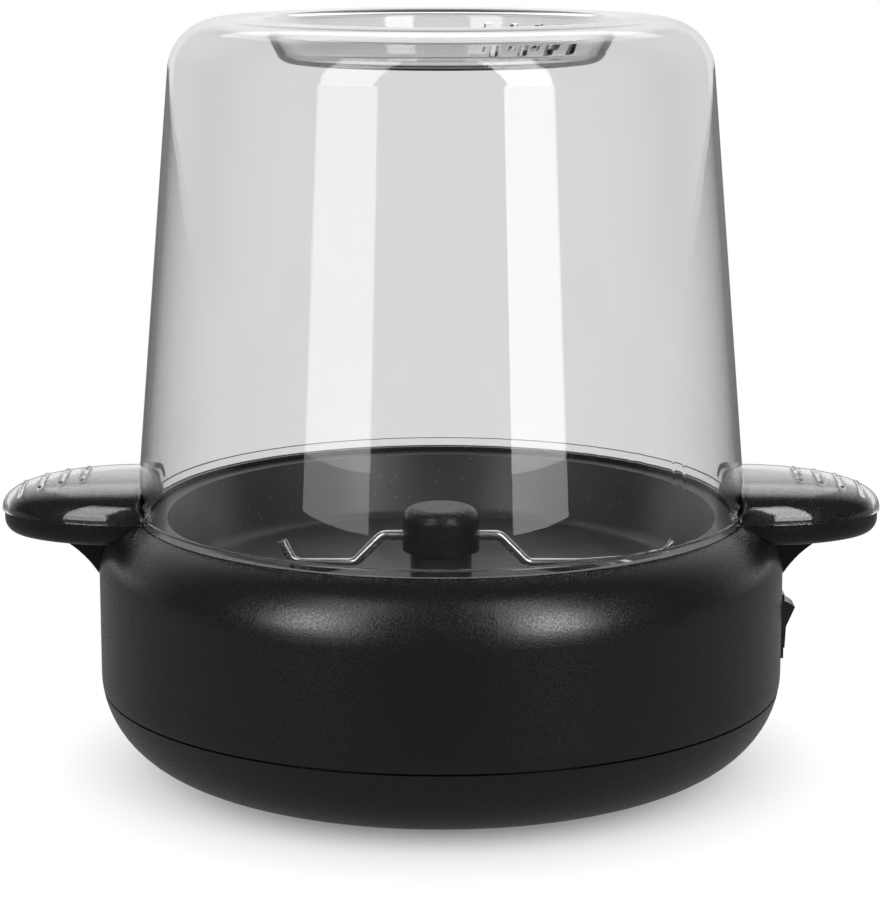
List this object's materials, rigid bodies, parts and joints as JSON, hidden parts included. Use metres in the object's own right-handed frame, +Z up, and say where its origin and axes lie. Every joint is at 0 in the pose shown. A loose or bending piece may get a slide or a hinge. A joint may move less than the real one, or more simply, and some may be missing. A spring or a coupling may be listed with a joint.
{
  "type": "stirring popcorn maker",
  "caption": "Electric popcorn maker: round black base with heated plate, motor-driven stirring arms and rocker switch, under a tall clear lid with a vented well and side handles.",
  "frame": {"origin": "on the floor under the middle of the base", "axes": "+Z up along the stirrer's axis, +X towards the handle with the rocker switch under it, -Y towards the front (the side in the picture)"},
  "size_m": [0.34, 0.2646, 0.289],
  "materials": {
    "housing_black": "fine spark-textured moulded plastic",
    "handle_black": "satin moulded plastic",
    "lid_clear": "clear glossy moulded plastic",
    "rubber_black": "matt rubber",
    "switch_black": "glossy moulded plastic",
    "plate_coated": "dark non-stick coating on cast aluminium",
    "seal_grey": "heat-proof silicone",
    "sheet_steel": "bright zinc-plated sheet",
    "screw_steel": "zinc-plated",
    "element_steel": "dark oxidised sheath",
    "ceramic_white": "unglazed ceramic",
    "brass": "plain turned",
    "stir_steel": "polished stainless wire",
    "hub_black": "heat-proof moulded plastic"
  },
  "bodies": {
    "base": {"base_housing": "housing_black", "bottom_cover": "housing_black", "left_handle": "handle_black", "right_handle": "handle_black", "handle_screws": "screw_steel", "cover_screws": "screw_steel", "foot_rear_right": "rubber_black", "foot_rear_left": "rubber_black", "foot_front_left": "rubber_black", "foot_front_right": "rubber_black", "cord_gland": "rubber_black", "switch_frame": "switch_black", "switch_terminals": "brass", "popping_plate": "plate_coated", "plate_seal": "seal_grey", "heat_shield": "sheet_steel", "shield_screws": "screw_steel", "heating_element": "element_steel", "heater_bushes": "ceramic_white", "thermostat": "ceramic_white", "thermal_fuse": "brass", "fuse_clip": "sheet_steel", "motor_can": "sheet_steel", "gear_case": "sheet_steel", "motor_spacers": "screw_steel", "motor_screws": "screw_steel", "motor_nuts": "screw_steel", "shaft_bush": "brass"},
    "lid": {"lid": "lid_clear"},
    "stirrer": {"drive_shaft": "screw_steel", "stir_hub": "hub_black", "stir_arm_long": "stir_steel", "stir_arm_short": "stir_steel"},
    "rocker": {"rocker": "switch_black"}
  },
  "joints": [
    {"name": "lid_lift", "type": "slide", "parent": "base", "child": "lid", "axis": [0, 0, 1], "range_m": [0, 0.22]},
    {"name": "stir_spin", "type": "hinge", "parent": "base", "child": "stirrer", "pos_m": [0, 0, 0.08], "axis": [0, 0, 1], "continuous": true},
    {"name": "rocker_tilt", "type": "hinge", "parent": "base", "child": "rocker", "pos_m": [0.1308, 0, 0.055], "axis": [0, 1, 0], "range_deg": [-26, 0]}
  ]
}
